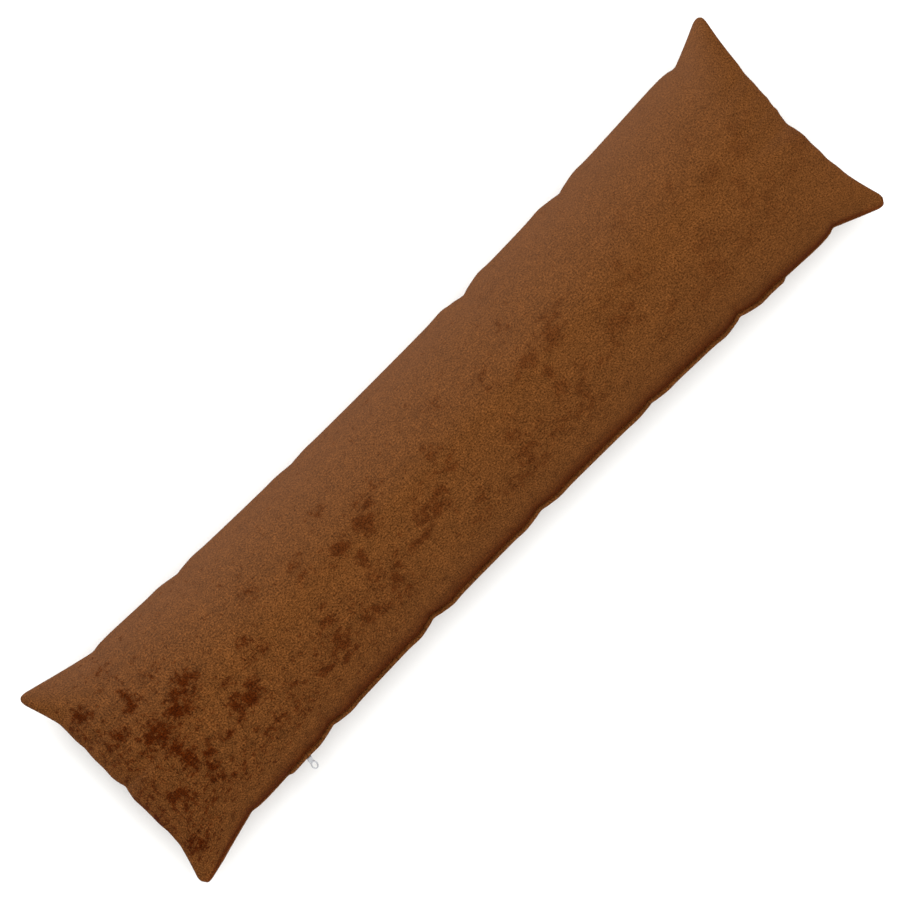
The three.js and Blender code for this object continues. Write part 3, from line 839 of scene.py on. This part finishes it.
def make_pull():
    """The pull: an eye round the bow and a ring to hold it by, joined by a flat neck."""
    wall, eye, ring = PULL["wall"], PULL["eye"], PULL["ring"]
    ring_at = -(PULL["length"] - 2 * wall - eye[1] - ring[1])
    tab = oval("zip_pull_tab", 0, eye, wall)
    other = oval("ring", ring_at, ring, wall)
    deselect()
    other.select_set(True)
    tab.select_set(True)
    bpy.context.view_layer.objects.active = tab
    bpy.ops.object.join()

    def faces_neck(edge, middle, hole, way):
        """Whether an edge is on an oval's outer rim, on the side that the neck springs from."""
        for point in (tab.data.vertices[i].co for i in edge.vertices):
            across, along = point.x / (hole[0] + wall), (point.y - middle) / (hole[1] + wall)
            if abs(math.hypot(across, along) - 1) > 0.01 or way * along < 0.5:
                return False
        return True

    edit(tab, lambda edge: faces_neck(edge, 0, eye, -1) or faces_neck(edge, ring_at, ring, 1), "EDGE")
    bpy.ops.mesh.bridge_edge_loops(number_cuts=3)
    bpy.ops.mesh.select_all(action="SELECT")
    bpy.ops.mesh.normals_make_consistent(inside=False)
    leave()
    finish(
        tab,
        ("SOLIDIFY", {"thickness": PULL["thick"], "offset": 0}),
        ("BEVEL", {"width": ROUNDED["pull"], "segments": 1, "limit_method": "ANGLE"}),
        ("SUBSURF", {"levels": 1, "render_levels": 1}),
    )
    twist = Matrix.Rotation(math.radians(PULL["twist"]), 4, "Y")
    swing = Matrix.Rotation(math.radians(-PULL["swing"]), 4, "Z")
    hinge = Matrix.Translation((0, -PLATES[1] - BOW["radius"], 0))
    tab.data.transform(hinge @ swing @ twist)
    return tab


# ---- Materials ----

COLOURS = {"data_type": "RGBA"}  # what a Mix node mixes
DARKEN = {"data_type": "RGBA", "blend_type": "MULTIPLY"}
SMOOTH = {"interpolation_type": "SMOOTHSTEP"}


def colour(hexcode):
    """An sRGB hex colour as a linear one."""
    parts = [int(hexcode[i : i + 2], 16) / 255 for i in (1, 3, 5)]
    return [*(c / 12.92 if c <= 0.04045 else ((c + 0.055) / 1.055) ** 2.4 for c in parts), 1.0]


def node(tree, kind, settings=None, **inputs):
    """Adds a node. An input is a value, an output to link to it, or a node, whose first live output is used.

    A name such as _6 is the number of an input, and a name such as Base_Color is its name.
    """
    made = tree.nodes.new("ShaderNode" + kind)
    for name, value in (settings or {}).items():
        setattr(made, name, value)
    for name, value in inputs.items():
        socket = made.inputs[int(name[1:]) if name[1:].isdigit() else name.replace("_", " ")]
        if isinstance(value, bpy.types.Node):
            value = next(output for output in value.outputs if output.enabled)
        if isinstance(value, bpy.types.NodeSocket):
            tree.links.new(value, socket)
        else:
            socket.default_value = value
    return made


def new_material(name):
    made = bpy.data.materials.new(name)
    made.use_nodes = True
    made.node_tree.nodes.clear()
    return made, made.node_tree


def per_mm(size):
    """The scale that makes a noise's features about `size` mm across."""
    return 1 / (size * MM)


def tuft_tone(tree, cloth, tufts, depth):
    """How light the tufts are. They lean this way and that, in tangles, and more so where hands have been."""
    tangle = node(tree, "TexNoise", None, Vector=cloth, Scale=per_mm(9), Detail=5.0, Roughness=0.75)
    drift = node(tree, "TexNoise", None, Vector=cloth, Scale=per_mm(32), Detail=4.0, Roughness=0.6)
    unrest = node(tree, "Math", {"operation": "MULTIPLY_ADD"}, _0=depth, _1=0.2, _2=0.15)
    tangled = node(tree, "MapRange", {"clamp": False}, Value=tangle, _1=0.3, _2=0.7, _3=-1.0, _4=1.0)
    tone = node(tree, "MapRange", None, Value=drift, _1=0.3, _2=0.7, _3=0.93, _4=1.07)
    tone = node(tree, "Math", {"operation": "MULTIPLY_ADD"}, _0=tangled, _1=unrest, _2=tone)
    # Where hands have been, the single tufts stand apart more too.
    ruffled = node(tree, "MapRange", {"clamp": False}, Value=tufts, _1=0.3, _2=0.7, _3=-1.0, _4=1.0)
    roused = node(tree, "Math", {"operation": "MULTIPLY"}, _0=depth, _1=0.28)
    tone = node(tree, "Math", {"operation": "MULTIPLY_ADD"}, _0=ruffled, _1=roused, _2=tone)
    return node(tree, "CombineColor", None, _0=tone, _1=tone, _2=tone)


def laid_over(tree, cloth, depth):
    """How far the pile is laid over. It turns in short strokes along the cloth's two threads."""
    nap = node(tree, "Attribute", {"attribute_name": "nap"}).outputs["Fac"]
    turned = nap
    for stretch in ((0.6, 1, 1), (1, 0.6, 1)):
        place = node(tree, "Mapping", None, Vector=cloth, Scale=stretch)
        stroke = node(tree, "TexNoise", None, Vector=place, Scale=per_mm(6), Detail=7.0, Roughness=0.75)
        turned = node(tree, "Math", {"operation": "MULTIPLY_ADD"}, _0=stroke, _1=3.0, _2=turned)
    laid = node(tree, "MapRange", SMOOTH, Value=turned, _1=3.2, _2=3.8, _4=0.85)
    laid = node(tree, "Math", {"operation": "MULTIPLY_ADD"}, _0=nap, _1=0.35, _2=laid)
    return node(tree, "Math", {"operation": "MULTIPLY"}, _0=laid, _1=depth)


def velvet():
    """Short-pile polyester velvet, brushed. Its tufts catch the light one by one.

    Cloth that falls away to +Y, towards the key lamp, is painted paler and greyer, a painted sheen. Where it
    falls steeply away to -Y it is painted darker and warmer, a painted shade. A hand has laid the nap the
    dark way in places.
    """
    made, tree = new_material("brushed_pile_velvet")
    cloth = node(tree, "UVMap", {"uv_map": "cloth"})
    depth = node(tree, "Attribute", {"attribute_name": "nap_depth"}).outputs["Fac"]
    # Tufts are finer than this in real pile: they are drawn 1.6 mm across so that they show.
    tufts = node(tree, "TexNoise", None, Vector=cloth, Scale=per_mm(1.6), Detail=2.0, Roughness=0.7)
    grain = node(tree, "MapRange", None, Value=tufts, _1=0.25, _2=0.75)
    pile = node(tree, "Mix", COLOURS, _0=grain, _6=colour("#2A1302"), _7=colour("#714420"))
    pile = node(tree, "Mix", DARKEN, _0=1.0, _6=pile, _7=tuft_tone(tree, cloth, tufts, depth))
    # Painted sheen: cloth facing +Y, towards the key lamp, is mixed paler and greyer the more it faces that
    # way.
    light_side = node(tree, "Attribute", {"attribute_name": "light_side"}).outputs["Fac"]
    along = node(tree, "MapRange", None, Value=light_side, _1=0.0, _2=1.0, _4=0.45)
    pile = node(tree, "Mix", COLOURS, _0=along, _6=pile, _7=colour("#694936"))
    # Painted shade: the steep flank falling away to -Y, away from the key lamp, is darkened and warmed.
    away = node(tree, "MapRange", SMOOTH, Value=light_side, _1=-0.72, _2=-0.98)
    pile = node(tree, "Mix", DARKEN, _0=away, _6=pile, _7=colour("#BC965C"))
    laid = laid_over(tree, cloth, depth)
    pile = node(tree, "Mix", DARKEN, _0=laid, _6=pile, _7=colour("#AC7C38"))
    # Painted shade in the groove of each seam: the pile there is darkened, and warmer.
    groove_shade = node(tree, "Attribute", {"attribute_name": "groove_shade"}).outputs["Fac"]
    groove_shade = node(tree, "Math", {"operation": "MULTIPLY", "use_clamp": True}, _0=groove_shade, _1=0.5)
    pile = node(tree, "Mix", DARKEN, _0=groove_shade, _6=pile, _7=colour("#FC9C30"))
    bump = node(tree, "Bump", None, Height=tufts, Strength=0.6, Distance=0.5 * MM)
    rough = node(tree, "MapRange", None, Value=laid, _3=0.92, _4=0.82)
    finish = {"Roughness": rough, "Specular_IOR_Level": 0.02, "Sheen_Weight": 0.03, "Sheen_Roughness": 0.5}
    tint = colour("#FF8A4C")
    surface = node(tree, "BsdfPrincipled", None, Base_Color=pile, Normal=bump, Sheen_Tint=tint, **finish)
    node(tree, "OutputMaterial", None, Surface=surface)
    return made


def satin_metal():
    """Die-cast zinc in a satin enamel of pale metallic grey, with the faint waves of a sprayed coat."""
    made, tree = new_material("satin_grey_enamel")
    place = node(tree, "TexCoord").outputs["Object"]
    waves = node(tree, "TexNoise", None, Vector=place, Scale=per_mm(1.2), Detail=2.0)
    rough = node(tree, "MapRange", None, Value=waves, _1=0.3, _2=0.7, _3=0.3, _4=0.42)
    enamel = node(tree, "Mix", COLOURS, _0=waves.outputs["Fac"], _6=colour("#ABACAF"), _7=colour("#C3C4C7"))
    bump = node(tree, "Bump", None, Height=waves, Strength=0.15, Distance=0.1 * MM)
    finish = {"Base_Color": enamel, "Roughness": rough, "Normal": bump, "Metallic": 0.75}
    surface = node(tree, "BsdfPrincipled", None, **finish)
    node(tree, "OutputMaterial", None, Surface=surface)
    return made


def coil_nylon():
    """Extruded nylon monofilament, dyed brown: smooth, with a soft highlight along each turn."""
    made, tree = new_material("dyed_nylon_monofilament")
    place = node(tree, "TexCoord").outputs["Object"]
    dye = node(tree, "TexNoise", None, Vector=place, Scale=per_mm(6), Detail=2.0)
    nylon = node(tree, "Mix", COLOURS, _0=dye.outputs["Fac"], _6=colour("#4A2A14"), _7=colour("#5E3820"))
    rough = node(tree, "MapRange", None, Value=dye, _1=0.3, _2=0.7, _3=0.34, _4=0.44)
    surface = node(tree, "BsdfPrincipled", None, Base_Color=nylon, Roughness=rough, IOR=1.53)
    node(tree, "OutputMaterial", None, Surface=surface)
    return made


def tape_weave():
    """Woven polyester tape, dyed to match: matt yarn, 0.6 mm to a warp thread and 0.5 mm to a weft."""
    made, tree = new_material("woven_polyester_tape")
    place = node(tree, "TexCoord").outputs["Object"]
    # At a scale of 1, a wave's bands are pi / 10 apart.
    along = node(tree, "TexWave", {"bands_direction": "X"}, Vector=place, Scale=per_mm(0.6) * math.pi / 10)
    across = node(tree, "TexWave", {"bands_direction": "Z"}, Vector=place, Scale=per_mm(0.5) * math.pi / 10)
    yarn = node(tree, "Math", {"operation": "MULTIPLY"}, _0=along.outputs["Fac"], _1=across.outputs["Fac"])
    weave = node(tree, "Mix", COLOURS, _0=yarn, _6=colour("#35190A"), _7=colour("#5B3219"))
    bump = node(tree, "Bump", None, Height=yarn, Strength=0.5, Distance=0.15 * MM)
    rough = node(tree, "MapRange", None, Value=yarn, _3=0.9, _4=0.78)
    surface = node(tree, "BsdfPrincipled", None, Base_Color=weave, Normal=bump, Roughness=rough)
    node(tree, "OutputMaterial", None, Surface=surface)
    return made


# ---- The stage ----

FLOOR = "#F4F4F2"
STUDIO = {
    "light": 1.1,  # of the white surroundings
    "lamps": [("overhead", (0.2, 0, 3.2), 2.8, 58), ("key", (0.9, 2.0, 2.2), 1.6, 33)],  # place, size, watts
}
CAMERA = {
    "lens": 240,
    "across": 0.8125,  # what the picture's width takes in, at the height of the seam
    "over": (-0.0015, 0.0013),
    "turn": 45.1,  # degrees
}


def make_stage():
    """A pale floor, white surroundings and two soft lamps."""
    deselect()
    bpy.ops.mesh.primitive_plane_add(size=12)
    floor = bpy.context.object
    floor.name = "floor"
    made, tree = new_material("pale_floor")
    surface = node(tree, "BsdfPrincipled", None, Base_Color=colour(FLOOR), Roughness=0.8)
    node(tree, "OutputMaterial", None, Surface=surface)
    floor.data.materials.append(made)
    world = bpy.data.worlds.new("studio")
    bpy.context.scene.world = world
    world.use_nodes = True
    background = world.node_tree.nodes["Background"]
    background.inputs["Color"].default_value = (1, 1, 1, 1)
    background.inputs["Strength"].default_value = STUDIO["light"]
    for name, place, size, power in STUDIO["lamps"]:
        lamp = bpy.data.lights.new(name, "AREA")
        lamp.size = size
        lamp.energy = power
        holder = bpy.data.objects.new(name, lamp)
        holder.location = place
        holder.rotation_euler = (-Vector(place)).to_track_quat("-Z", "Y").to_euler()
        bpy.context.scene.collection.objects.link(holder)


def make_camera():
    """Straight above the pillow, which runs up to the right at 45 degrees."""
    lens = bpy.data.cameras.new("camera")
    lens.lens = CAMERA["lens"]
    lens.clip_end = 20
    above = CAMERA["across"] * lens.lens / lens.sensor_width
    camera = bpy.data.objects.new("camera", lens)
    camera.location = (*CAMERA["over"], SEAM["z"] + above)
    camera.rotation_euler = (0, 0, -math.radians(CAMERA["turn"]))
    bpy.context.scene.collection.objects.link(camera)
    bpy.context.scene.camera = camera
    bpy.context.scene.view_settings.view_transform = "Standard"


make_stage()
make_camera()

cover = make_cover()
cover.data.materials.append(velvet())
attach(cover, "root")
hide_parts("pillow_cover")

nylon, weave, metal = coil_nylon(), tape_weave(), satin_metal()
zip_pieces = [
    (make_coil(), "zip_chain", "zip_nylon", nylon),
    (make_tape("zip_tape_upper", 1), "zip_chain", "zip_nylon", weave),
    (make_tape("zip_tape_lower", -1), "zip_chain", "zip_nylon", weave),
    (make_slider(), "zip_slider", "zip_metal", metal),
    (make_pull(), "zip_pull", "zip_metal", metal),
]
for piece, node_name, slot, material in zip_pieces:
    if slot == "zip_metal":
        piece.data.transform(slider_place())
    piece.data.materials.clear()
    piece.data.materials.append(material)
    deselect()
    piece.select_set(True)
    bpy.context.view_layer.objects.active = piece
    bpy.ops.object.shade_smooth_by_angle(angle=math.radians(35))
    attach(piece, "root")
    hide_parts(node_name)
